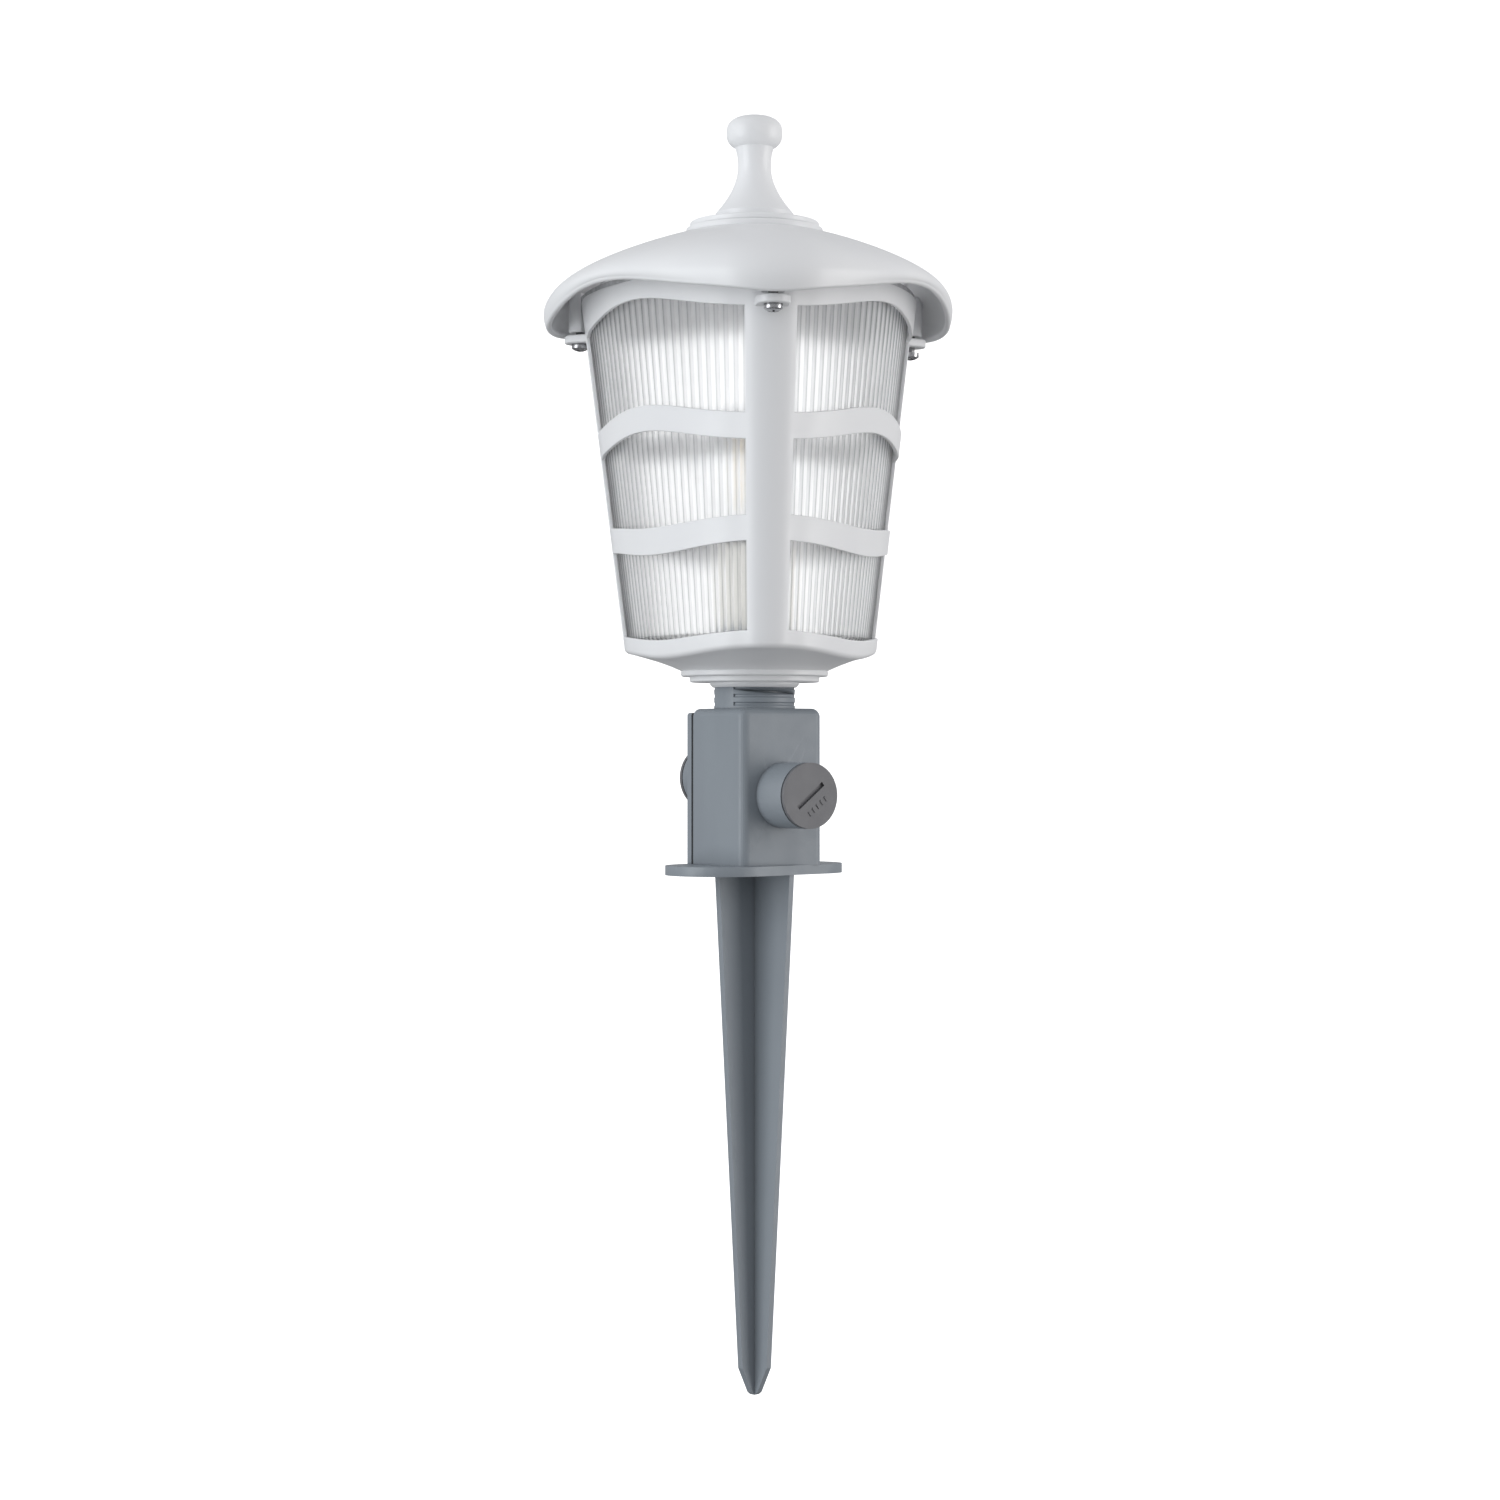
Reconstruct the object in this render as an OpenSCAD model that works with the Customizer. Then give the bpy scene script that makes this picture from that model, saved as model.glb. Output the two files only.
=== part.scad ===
// Garden spike lantern: a three-lobed white lantern head screwed onto the threaded neck of a
// small junction box, which stands on an oval ground flange with a cross-bladed spike.
// The origin is the centre of the flange's underside, at ground level, with +Z up. One rib of
// the head lies on +X, the front cable entry points along -Y and the rear one along +Y.

/* [Ground spike] */
// Depth of the spike's tip below the ground line
spike_depth = 192.6; // [150:0.1:230]
// Half-width of each blade at the ground line
blade_top_half = 19.3; // [16:0.1:19.5]
// Half-width of each blade where its tip bevel starts
blade_low_half = 7.4; // [4:0.1:9]
// Thickness of each blade
blade_t = 2.4; // [1.6:0.1:4]
// Half-length of the oval flange
flange_half_l = 38; // [30:0.5:48]
// Half-width of the oval flange
flange_half_w = 20; // [19.5:0.5:24]
// Thickness of the flange
flange_t = 3.5; // [2.5:0.1:5]
// Turn of the spike and its flange about the axis, against the box
spike_turn = 10; // [0:1:20]

/* [Junction box] */
// Half-width of the box
box_half_w = 18.2; // [17.8:0.1:18.6]
// Depth of the box behind its centre, to the rear cover's face
box_back = 18.2; // [18:0.1:20]
// Height of the box's top above the ground line
box_top = 61; // [60:0.5:64]
// Wall thickness of the box
box_wall = 2.2; // [1.6:0.1:2.4]
// Rounding of the box's front and top edges
box_round = 3.2; // [1.5:0.1:3.5]
// Thickness of the rear cover
cover_t = 3.4; // [3:0.1:4]
// Rounding of the rear cover's edges
cover_round = 1; // [0.5:0.1:1.5]
// Height of the front cable entry's axis
front_entry_z = 29.2; // [28:0.1:29.5]
// Height of the rear cable entry's axis
rear_entry_z = 35.3; // [28:0.1:36]
// Radius of both cable entries
entry_r = 12; // [11.5:0.1:12.5]

/* [Neck] */
// Radius of the neck over its thread
neck_r = 15; // [14.5:0.1:15.2]
// Height of the neck's top
neck_top = 92; // [90:0.5:94]
// Pitch of the neck's thread
neck_pitch = 3; // [2:0.5:4]

/* [Lantern head] */
// Radius of each bowed face, at the plan height
bow_r = 119.5; // [110:0.5:130]
// Distance of each bow's centre from the axis, at the plan height
bow_offset = 67.7; // [60:0.5:70]
// Rounding of the three corners, at the plan height
corner_r = 15.5; // [12:0.5:18]
// Height at which the plan has the radii above
plan_z = 193; // [190:0.5:196]
// Shrinkage of the plan for each mm downwards
taper = 0.00202; // [0.0015:0.0001:0.0021]
// Wall thickness of the lattice frame
frame_wall = 1.5; // [1.2:0.1:1.6]
// Wall thickness of the lens
lens_wall = 2.2; // [1.6:0.1:2.6]
// Half-angle of each rib, seen from the axis
rib_half_angle = 8.2; // [6:0.1:12]

/* [Roof] */
// Overhang of the roof beyond the head's plan
roof_overhang = 16.6; // [14:0.1:18]
// Thickness of the roof
roof_t = 2.4; // [1.8:0.1:3]
// Droop of the roof's rim at the three corners
roof_droop = 4.2; // [3:0.1:4.3]
// Radius of the three roof screws' circle
roof_screw_circle = 73; // [72:0.1:74]

/* [Hidden] */
$fn = 64;
eps = 0.02;
// Radial gap of the pieces that turn or slide in one another
run_gap = 0.06;

// Box levels along Y, from the front wall to the rear cover
shell_end = box_back - cover_t - 1.2;
cover_start = box_back - cover_t;
cover_top = box_top - 1.5;
box_floor = flange_t + box_wall;
box_ceiling = box_top - box_wall - 0.2;
cover_screw_x = 13;
cover_screw_z = [8.6, 55.8];

// Cable entries: the spout's bore and the plug's parts
entry_bore = entry_r - 2.4;
seal_t = 0.6;
plug_head_t = 1.4;
plug_stem = 10;
plug_pitch = 1.5;
front_spout_end = 33.3;
rear_spout_end = 30;
slot_l = 14;
slot_w = 1.7;
slot_depth = 1;
slot_turn = 38;

// Terminal block: three poles side by side
pole_x = [-7, 0, 7];
pole_y = -2;
block_z = [38, 48];
lead_x = 4.5;

// Lamp holder and lamp, from the neck's top upwards
wire_r = 1.1;
neck_bore = 11.5;
neck_plate = 2.5;
holder_r = 13.6;
holder_base_top = neck_top + 10;
holder_top = neck_top + 29;
holder_screw_y = 10.6;
pocket_r = 7.8;
pocket_z = neck_top + 5.8;
lamp_cap_r = 6.9;
lamp_tip = neck_top + 11.8;
globe_r = 22.5;
globe_z = neck_top + 60;

// Head levels
socket_r = neck_r + run_gap;
lip_z = 68.8;
socket_top = 86;
lens_floor = 84.5;
head_top = 214.5;
gasket_t = 2;
tab_z = [200, 202.9];
seal_z = [76.5, 79.5];
seal_groove_r = socket_r + 2.24;

// Wavy edges of the head's windows, bottom edge first: height and rise at the ribs
windows = [
    [[86.8, 1.3], [117.8, 1.7]],
    [[127.3, 1.3], [157.4, -3]],
    [[166.7, -3], [203.9, -3.6]],
];

// Roof: side profile of the dome as a cubic curve of half-width and height, seen from a
// direction 25 degrees off the middle of a face
roof_half = bow_r - bow_offset * cos(25) + roof_overhang;
dome = [[roof_half - 0.4, 209.8], [roof_half + 3.3, 217], [65.9, 226.9], [25.3, 236.2]];
dome_in = [
    [roof_half - 0.4 - roof_t, 210.3], [roof_half + 3 - roof_t, 215.5], [67.2 - roof_t, 224.6], [22, 234.7]
];
ring_r = 25.3;
finial_z = 238.3;
boss_bottom = 204.2;

plastic_grey = "#858d93";
plug_grey = "#6f6e6f";
lantern_white = "#eef0f1";
rubber_black = "#26272a";
zinc = "#c9ccd0";
brass = "#c8a85a";
bakelite = "#e9e6dc";

// ---- shared functions ----

// Scale of the head's plan at height z
function plan_scale(z) = 1 - taper * (plan_z - z);

// Angle from the nearest rib, 0 to 60 degrees
function from_rib(a) = let (b = (a + 420) % 120 - 60) abs(b);

// Polar radius of the rounded three-lobed outline, scaled by k and grown by off
function lobe_r(a, k, off) = let (
    b = from_rib(a),
    rc = corner_r * k + off,
    rf = bow_r * k + off,
    e = bow_offset * k,
    d = sqrt((rf - rc) * (rf - rc) - 0.75 * e * e) - e / 2,
    tangent = atan2(e * sin(60), d + e / 2),
    split = atan2(rc * sin(tangent), d + rc * cos(tangent))
) b < split
    ? d * cos(b) + sqrt(rc * rc - pow(d * sin(b), 2))
    : sqrt(rf * rf - pow(e * sin(60 - b), 2)) - e * cos(60 - b);

function polar(r, a, z) = [r * cos(a), r * sin(a), z];

// Directions around the plan, closer together at the three corners
corner_half = 8.5;
corner_steps = 6;
face_steps = 10;
plan_angles = [for (lobe = [0 : 2]) each concat(
    [for (i = [0 : corner_steps - 1]) lobe * 120 - corner_half + 2 * corner_half * i / corner_steps],
    [for (i = [0 : face_steps - 1]) lobe * 120 + corner_half + (120 - 2 * corner_half) * i / face_steps]
)];

// One outline of the head at height z, whose height rises by wave at the ribs
function head_ring(z, wave, off) = [for (a = plan_angles)
    let (za = z + wave * cos(3 * a)) polar(lobe_r(a, plan_scale(za), off), a, za)];

function round_ring(z, r) = [for (a = plan_angles) polar(r, a, z)];

function bezier(p, t) = pow(1 - t, 3) * p[0] + 3 * t * pow(1 - t, 2) * p[1]
    + 3 * t * t * (1 - t) * p[2] + pow(t, 3) * p[3];

function middle(ring) = [for (p = ring) 1] * ring / len(ring);

// Closed solid through a stack of rings with the same number of points
module loft(rings) {
    n = len(rings[0]);
    m = len(rings);
    points = concat([for (r = rings) each r], [middle(rings[0]), middle(rings[m - 1])]);
    sides = [for (i = [0 : m - 2], j = [0 : n - 1]) let (
        a = i * n + j, b = i * n + (j + 1) % n, c = a + n, d = b + n
    ) each [[a, c, d], [a, d, b]]];
    bottom = [for (j = [0 : n - 1]) [m * n, j, (j + 1) % n]];
    top = [for (j = [0 : n - 1]) [m * n + 1, (m - 1) * n + (j + 1) % n, (m - 1) * n + j]];
    polyhedron(points, concat(sides, bottom, top), convexity = 6);
}

// Joins freeform pieces into a single shell
module one_shell() {
    resize([0, 0, 0]) children();
}

// Round tube of radius r along a path that runs mostly upwards
module wire(path, r, sides = 8) {
    loft([for (i = [0 : len(path) - 1]) let (
        ahead = path[min(i + 1, len(path) - 1)],
        behind = path[max(i - 1, 0)],
        t = (ahead - behind) / norm(ahead - behind),
        u = cross([0, 1, 0], t) / norm(cross([0, 1, 0], t)),
        v = cross(t, u)
    ) [for (s = [0 : sides - 1]) path[i] + r * (cos(360 * s / sides) * u + sin(360 * s / sides) * v)]]);
}

module ring(r_in, r_out, z0, z1) {
    rotate_extrude() translate([r_in, z0]) square([r_out - r_in, z1 - z0]);
}

// Lays a shape that points along +Z so that it points along dir, 1 for +Y and -1 for -Y
module along_y(dir) {
    rotate([dir > 0 ? -90 : 90, 0, 0]) children();
}

// Pan-head screw pointing along -Z from its seat at the origin, with a cross recess
module pan_screw(head_r, head_h, shank_r, length) {
    difference() {
        union() {
            intersection() {
                cylinder(r = head_r, h = head_h);
                translate([0, 0, head_h - 1.6 * head_r]) sphere(r = 1.6 * head_r);
            }
            translate([0, 0, -length]) cylinder(r = shank_r, h = length + eps);
        }
        for (turn = [0, 90]) rotate(turn)
            translate([-head_r * 0.6, -head_r * 0.11, head_h * 0.45])
                cube([head_r * 1.2, head_r * 0.22, head_h]);
    }
}

// Ring grooves that stand for a moulded thread, cut between two angles
module thread_grooves(r, depth, pitch, z0, z1, start = 0, angle = 360) {
    for (z = [z0 : pitch : z1]) rotate(start)
        rotate_extrude(angle = angle) polygon([
            [r - depth, z - pitch * 0.1], [r + 0.5, z - pitch * 0.35],
            [r + 0.5, z + pitch * 0.35], [r - depth, z + pitch * 0.1]
        ]);
}

// ---- ground spike ----

module blade() {
    bevel_z = spike_depth - 10.6;
    rotate([90, 0, 0]) translate([0, 0, -blade_t / 2]) linear_extrude(blade_t)
        polygon([
            [-blade_top_half, eps], [-blade_low_half, -bevel_z],
            [-2.6, -spike_depth + 1.1], [-1.2, -spike_depth], [1.2, -spike_depth],
            [2.6, -spike_depth + 1.1], [blade_low_half, -bevel_z], [blade_top_half, eps]
        ]);
}

module flange_plate() {
    end_x = flange_half_l - flange_half_w;
    for (x = [-end_x, end_x]) translate([x, 0, 0]) cylinder(r = flange_half_w, h = flange_t);
    translate([-end_x, -flange_half_w, 0]) cube([2 * end_x, 2 * flange_half_w, flange_t]);
}

module ground_spike() {
    color(plastic_grey) rotate(spike_turn) difference() {
        union() {
            flange_plate();
            blade();
            rotate(90) blade();
            for (x = [-10, 10]) translate([x, 0, 0]) cylinder(r = 2, h = flange_t + 1.5);
        }
        translate([0, 0, -8.5]) cylinder(r = 1.27, h = 30);
    }
}

module spike_screw() {
    color(zinc) translate([0, 0, box_floor]) pan_screw(3, 2.2, 1.25, box_floor + 8);
}

// ---- junction box ----

module box_block() {
    x = box_half_w - box_round;
    hull() for (cx = [-x, x], cy = [-x, box_back - box_round]) translate([cx, cy, 0]) {
        translate([0, 0, flange_t]) cylinder(r = box_round, h = 1, $fn = 24);
        translate([0, 0, box_top - box_round]) sphere(r = box_round, $fn = 24);
    }
}

module at_cover_screws(y) {
    for (x = [-cover_screw_x, cover_screw_x], z = cover_screw_z) translate([x, y, z]) children();
}

module neck() {
    difference() {
        translate([0, 0, box_top - 1]) cylinder(r = neck_r, h = neck_top - box_top + 1);
        for (start = [24, 204])
            thread_grooves(neck_r, 0.6, neck_pitch, box_top + 1.6, neck_top - 2, start, 132);
    }
}

module front_shell() {
    color(plastic_grey) difference() {
        union() {
            difference() {
                box_block();
                translate([-30, shell_end, 0]) cube([60, 20, 70]);
                translate([-box_half_w + box_wall, -box_half_w + box_wall, box_floor])
                    cube([2 * (box_half_w - box_wall), 40, box_ceiling - box_floor]);
            }
            neck();
            translate([0, -box_half_w + box_wall, front_entry_z]) along_y(-1)
                cylinder(r = entry_r, h = front_spout_end - box_half_w + box_wall);
            at_cover_screws(shell_end) along_y(-1) cylinder(r = 3.3, h = 12.4);
            for (x = [-3.5, 3.5]) translate([x, -box_half_w + 1, 43]) along_y(1)
                cylinder(r = 2.4, h = box_half_w - 1 - 8);
            for (x = [-7, 7]) translate([x, -box_half_w + 1, 12]) along_y(1)
                cylinder(r = 2.2, h = box_half_w - 1 - 9);
        }
        translate([0, 0, box_ceiling - 1]) cylinder(r = neck_bore, h = neck_top - neck_plate - box_ceiling + 1);
        for (x = [-lead_x, lead_x]) translate([x, 0, 80]) cylinder(r = 1.6, h = 20);
        for (y = [-holder_screw_y + 1.6, holder_screw_y - 1.6]) translate([0, y, 86])
            cylinder(r = 1.27, h = 10);
        translate([0, -14, front_entry_z]) along_y(-1) cylinder(r = entry_bore, h = 30);
        at_cover_screws(shell_end + 1) along_y(-1) cylinder(r = 1.47, h = 10);
        for (x = [-3.5, 3.5]) translate([x, -14, 43]) along_y(1) cylinder(r = 0.87, h = 12);
        for (x = [-7, 7]) translate([x, -14, 12]) along_y(1) cylinder(r = 1.22, h = 12);
        translate([0, 0, -1]) cylinder(r = 1.45, h = 12);
        for (x = [-10, 10]) rotate(spike_turn) translate([x, 0, 0]) cylinder(r = 2.06, h = flange_t + 1.6);
    }
}

// Plate of the rear cover, a little lower than the box, with its own edge rounding
module cover_plate() {
    x = box_half_w - cover_round;
    y = box_back - cover_round;
    top = cover_top - cover_round;
    hull() {
        translate([-box_half_w, cover_start, flange_t]) cube([2 * box_half_w, 1, 1]);
        for (cx = [-x, x]) {
            translate([cx, cover_start, top]) along_y(1) cylinder(r = cover_round, h = 1, $fn = 24);
            translate([cx, y, flange_t]) cylinder(r = cover_round, h = 1, $fn = 24);
            translate([cx, y, top]) sphere(r = cover_round, $fn = 24);
        }
    }
}

module rear_cover() {
    color(plastic_grey) difference() {
        union() {
            cover_plate();
            translate([0, box_back - 1.5, rear_entry_z]) along_y(1)
                cylinder(r = entry_r, h = rear_spout_end - box_back + 1.5);
        }
        translate([-9, cover_start - 1, box_floor + 1]) cube([18, 1.8, 50]);
        translate([0, cover_start - 1, rear_entry_z]) along_y(1) cylinder(r = entry_bore, h = 30);
        at_cover_screws(cover_start - 1) along_y(1) cylinder(r = 1.7, h = 10);
    }
}

module cover_seal() {
    inset = 0.3;
    half = box_half_w - inset;
    color(rubber_black) difference() {
        translate([-half, shell_end, flange_t + inset])
            cube([2 * half, cover_start - shell_end, cover_top - flange_t - 2 * inset]);
        translate([-10.8, 0, box_floor + 0.5]) cube([21.6, 30, box_ceiling - box_floor - 1]);
        at_cover_screws(shell_end - 1) along_y(1) cylinder(r = 1.7, h = 4);
    }
}

module cover_screws() {
    color(zinc) at_cover_screws(box_back) along_y(1) pan_screw(2.9, 1.9, 1.45, 11);
}

// ---- cable entries ----

// Blanking plug pointing up along +Z, with its seat at the origin
module plug() {
    difference() {
        union() {
            cylinder(r = entry_r - 0.05, h = plug_head_t);
            translate([0, 0, -plug_stem - seal_t]) cylinder(r = entry_bore - run_gap, h = plug_stem + seal_t + 1);
        }
        thread_grooves(entry_bore - run_gap, 0.7, plug_pitch, -plug_stem, -seal_t - 1);
        translate([0, 0, -plug_stem - seal_t - 1]) cylinder(r = entry_bore - 2.6, h = plug_stem + 1);
        translate([-slot_l / 2, -slot_w / 2, plug_head_t - slot_depth]) cube([slot_l, slot_w, 5]);
    }
}

module front_plug() {
    color(plug_grey) translate([0, -front_spout_end - seal_t, front_entry_z])
        along_y(-1) rotate(slot_turn) plug();
}

module rear_plug() {
    color(plug_grey) translate([0, rear_spout_end + seal_t, rear_entry_z])
        along_y(1) rotate(slot_turn) plug();
}

module front_plug_seal() {
    color(rubber_black) translate([0, -front_spout_end, front_entry_z]) along_y(-1)
        ring(entry_bore, entry_r - 0.4, 0, seal_t);
}

module rear_plug_seal() {
    color(rubber_black) translate([0, rear_spout_end, rear_entry_z]) along_y(1)
        ring(entry_bore, entry_r - 0.4, 0, seal_t);
}

// ---- wiring ----

module terminal_block() {
    color(bakelite) difference() {
        union() {
            translate([-10.5, -8, block_z[0]]) cube([21, 10, block_z[1] - block_z[0]]);
            for (x = pole_x, z = [41, 45]) translate([x, 1, z]) along_y(1) cylinder(r = 1.9, h = 5);
        }
        for (x = pole_x) translate([x, pole_y, block_z[0] - 1]) cylinder(r = 2.65, h = 12);
        for (x = pole_x, z = [41, 45]) translate([x, pole_y, z]) along_y(1) cylinder(r = 1.35, h = 20);
        for (x = [-3.5, 3.5]) translate([x, -9, 43]) along_y(1) cylinder(r = 1.1, h = 20);
    }
}

module terminal_barrels() {
    color(brass) for (x = pole_x) translate([x, pole_y, 0]) difference() {
        translate([0, 0, block_z[0] + 0.8]) cylinder(r = 2.6, h = 8.4);
        translate([0, 0, block_z[0]]) cylinder(r = 1.5, h = 12);
        for (z = [41, 45]) translate([0, 0, z]) along_y(1) cylinder(r = 1.05, h = 5);
    }
}

module terminal_screws() {
    color(zinc) for (x = pole_x, z = [41, 45]) translate([x, pole_y + 1.3, z]) along_y(1)
        difference() {
            union() {
                cylinder(r = 1, h = 3);
                translate([0, 0, 2.4]) cylinder(r = 1.3, h = 3);
            }
            translate([-2, -0.2, 4.8]) cube([4, 0.4, 1]);
        }
}

module block_screws() {
    color(zinc) for (x = [-3.5, 3.5]) translate([x, 2, 43]) along_y(1) pan_screw(1.4, 1, 0.85, 14);
}

module cord_grip() {
    color(plastic_grey) difference() {
        translate([-9.6, -9, 9.6]) cube([19.2, 2.6, 4.8]);
        for (x = [-7, 7]) translate([x, -10, 12]) along_y(1) cylinder(r = 1.4, h = 6);
        translate([0, -10.6, 0]) cylinder(r = 3.4, h = 30);
    }
}

module grip_screws() {
    color(zinc) for (x = [-7, 7]) translate([x, -6.4, 12]) along_y(1) pan_screw(2.1, 1.5, 1.2, 6.5);
}

// Lead from a terminal, up the neck to the lamp holder; side is -1 or 1
function lead_path(side) = concat(
    [[7, -2, 43.6], [7, -2, 47], [7, -2, 50], [6.6, -1.5, 53], [5.6, -0.7, 56], [4.8, -0.2, 59]],
    [[lead_x, 0, 62], [lead_x, 0, 72], [lead_x, 0, 82], [lead_x, 0, 90], [lead_x, 0, pocket_z]]
) * [[side, 0, 0], [0, 1, 0], [0, 0, 1]];

module live_wire() {
    color("#6b3f22") wire(lead_path(-1), wire_r);
}

module neutral_wire() {
    color("#2a5fb0") wire(lead_path(1), wire_r);
}

// ---- lamp holder ----

module holder_base() {
    color(bakelite) difference() {
        translate([0, 0, neck_top]) cylinder(r = holder_r, h = holder_base_top - neck_top);
        translate([0, 0, pocket_z]) cylinder(r = pocket_r, h = 10);
        for (x = [-lead_x, lead_x]) translate([x, 0, neck_top - 1]) cylinder(r = 1.6, h = 10);
        for (y = [-holder_screw_y + 1.6, holder_screw_y - 1.6]) translate([0, y, neck_top - 1]) {
            cylinder(r = 1.5, h = 20);
            translate([0, 0, 6.5]) cylinder(r = 2.7, h = 10);
        }
    }
}

module holder_screws() {
    color(zinc) for (y = [-holder_screw_y + 1.6, holder_screw_y - 1.6])
        translate([0, y, neck_top + 5.5]) pan_screw(2.5, 1.7, 1.25, 9.5);
}

module holder_body() {
    color(bakelite) difference() {
        union() {
            ring(8.26, 13.2, holder_base_top, holder_top - 4);
            ring(8.26, 12.2, holder_top - 4 - eps, holder_top);
        }
        for (turn = [0 : 20 : 340]) rotate(turn) translate([13.6, 0, holder_base_top + 3])
            cylinder(r = 0.9, h = 9);
    }
}

module holder_thread() {
    color(brass) union() {
        difference() {
            ring(7, 8.2, holder_base_top + 1.2, holder_top - 2);
            for (z = [holder_base_top + 3 : 2.8 : holder_top - 4])
                rotate_extrude() translate([7, z]) circle(r = 0.5);
        }
        translate([3.6, -1.6, pocket_z]) cube([3, 3.2, 0.6]);
        translate([6, -1.6, pocket_z]) cube([0.6, 3.2, 4.6]);
        translate([6, -1.6, pocket_z + 4.2]) cube([1.7, 3.2, 0.5]);
        translate([7.1, -1.6, pocket_z + 4.2]) cube([0.6, 3.2, 2]);
    }
}

module centre_contact() {
    half = 2;
    color(brass) rotate([90, 0, 0]) translate([0, 0, -half]) linear_extrude(2 * half) polygon([
        [-6, pocket_z], [-3.2, pocket_z], [0.4, lamp_tip - 0.6], [2, lamp_tip - 0.6],
        [2, lamp_tip - 0.02], [0, lamp_tip - 0.02], [-3.5, pocket_z + 0.6], [-6, pocket_z + 0.6]
    ]);
}

module holder_seal() {
    color(rubber_black) difference() {
        ring(lamp_cap_r + 0.3, 11.4, holder_top, holder_top + 3);
        translate([0, 0, holder_top + 3]) rotate_extrude() translate([11.4, 0]) circle(r = 1.4);
    }
}

// ---- lamp ----

module bulb_cap() {
    color(zinc) difference() {
        ring(lamp_cap_r - 0.7, lamp_cap_r, lamp_tip + 1.8, holder_top - 1);
        for (z = [lamp_tip + 3.4 : 2.8 : holder_top - 5])
            rotate_extrude() translate([lamp_cap_r + 0.25, z]) circle(r = 0.6);
    }
}

module bulb_contact() {
    color("#1d1d1f") union() {
        translate([0, 0, lamp_tip + 0.8]) cylinder(r1 = 3, r2 = lamp_cap_r - 0.7, h = 3);
        translate([0, 0, lamp_tip]) cylinder(r = 2, h = 1);
    }
}

// Half outline of the glass: a straight neck that flares into the globe
function glass_outline(off) = concat(
    [[lamp_cap_r - 0.1 + off, holder_top - 1], [lamp_cap_r - 0.1 + off, holder_top + 4]],
    [for (t = [0.2 : 0.2 : 0.8]) bezier([
        [lamp_cap_r - 0.1 + off, holder_top + 4], [lamp_cap_r + 1 + off, holder_top + 10],
        [16 + off, globe_z - 20], [(globe_r + off) * cos(-25), globe_z + (globe_r + off) * sin(-25)]
    ], t)],
    [for (u = [-25 : 11.5 : 90]) [(globe_r + off) * cos(u), globe_z + (globe_r + off) * sin(u)]]
);

module bulb_globe() {
    inner = glass_outline(-0.9);
    color("#f3f5f6", 0.5) rotate_extrude() polygon(concat(
        glass_outline(0), [for (i = [len(inner) - 1 : -1 : 0]) inner[i]]));
}

module bulb_stem() {
    color("#dfe3e6") union() {
        translate([0, 0, lamp_tip + 3.8]) cylinder(r = 5.6, h = holder_top - lamp_tip - 3);
        translate([0, 0, holder_top - eps]) cylinder(r1 = 5.6, r2 = 2, h = 12);
        translate([0, 0, holder_top + 11.9]) cylinder(r = 2, h = 30);
    }
}

module bulb_filaments() {
    color("#f0c64a") for (turn = [0 : 90 : 270]) rotate(turn)
        translate([0.9, 0.9, 0]) {
            translate([4.6, 0, holder_top + 14]) cylinder(r = 0.8, h = 26);
            translate([1.1, 0, holder_top + 41]) rotate([0, 90, 0]) cylinder(r = 0.4, h = 3.9);
            translate([4.6, 0, holder_top + 40 - eps]) cylinder(r = 0.4, h = 1.2);
        }
}

// ---- lantern head ----

module neck_seal() {
    color(rubber_black) ring(neck_r + 0.04, seal_groove_r - 0.08, seal_z[0] + 0.06, seal_z[1] - 0.06);
}

// Socket, stepped collar and lens seat, all turned about the axis
module collar() {
    difference() {
        rotate_extrude() polygon([
            [socket_r, lip_z], [socket_r + 0.4, lip_z], [socket_r + 1.4, lip_z + 0.8],
            [socket_r + 1.4, 70.7], [23.6, 70.7], [24, 71.1], [24, 72.8], [26.8, 72.8], [27.2, 73.2],
            [27.2, 74.6], [25.6, 78.4], [20.8, 79.4], [20.8, lens_floor], [seal_groove_r + 0.6, lens_floor],
            [seal_groove_r + 0.6, socket_top], [socket_r, socket_top]
        ]);
        ring(socket_r - 1, seal_groove_r, seal_z[0], seal_z[1]);
    }
}

// Cutter for one window of one face, whose edges follow the wave
module window_cutter(face, bottom, top) {
    steps = 14;
    loft([for (i = [0 : steps]) let (
        a = face * 120 + rib_half_angle + (120 - 2 * rib_half_angle) * i / steps,
        zb = bottom[0] + bottom[1] * cos(3 * a),
        zt = top[0] + top[1] * cos(3 * a)
    ) [
        polar(lobe_r(a, plan_scale(zb), -4), a, zb), polar(lobe_r(a, plan_scale(zt), -4), a, zt),
        polar(lobe_r(a, plan_scale(zt), 3), a, zt), polar(lobe_r(a, plan_scale(zb), 3), a, zb)
    ]]);
}

module lattice() {
    difference() {
        loft([
            round_ring(74.4, 26.2), round_ring(74.6, 26.7), round_ring(76.2, 30.2),
            head_ring(80.1, 1.5, -2.4), head_ring(80.7, 1.5, -0.8), head_ring(82.2, 1.5, 0),
            head_ring(head_top, 0, 0)
        ]);
        loft([
            round_ring(78.2, 23.6), head_ring(82.2, 1.5, -4), head_ring(84.2, 0, -frame_wall),
            head_ring(head_top + 1, 0, -frame_wall)
        ]);
        for (face = [0 : 2], w = windows) window_cutter(face, w[0], w[1]);
        translate([0, 0, 70]) cylinder(r = 21, h = 12);
    }
}

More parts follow.
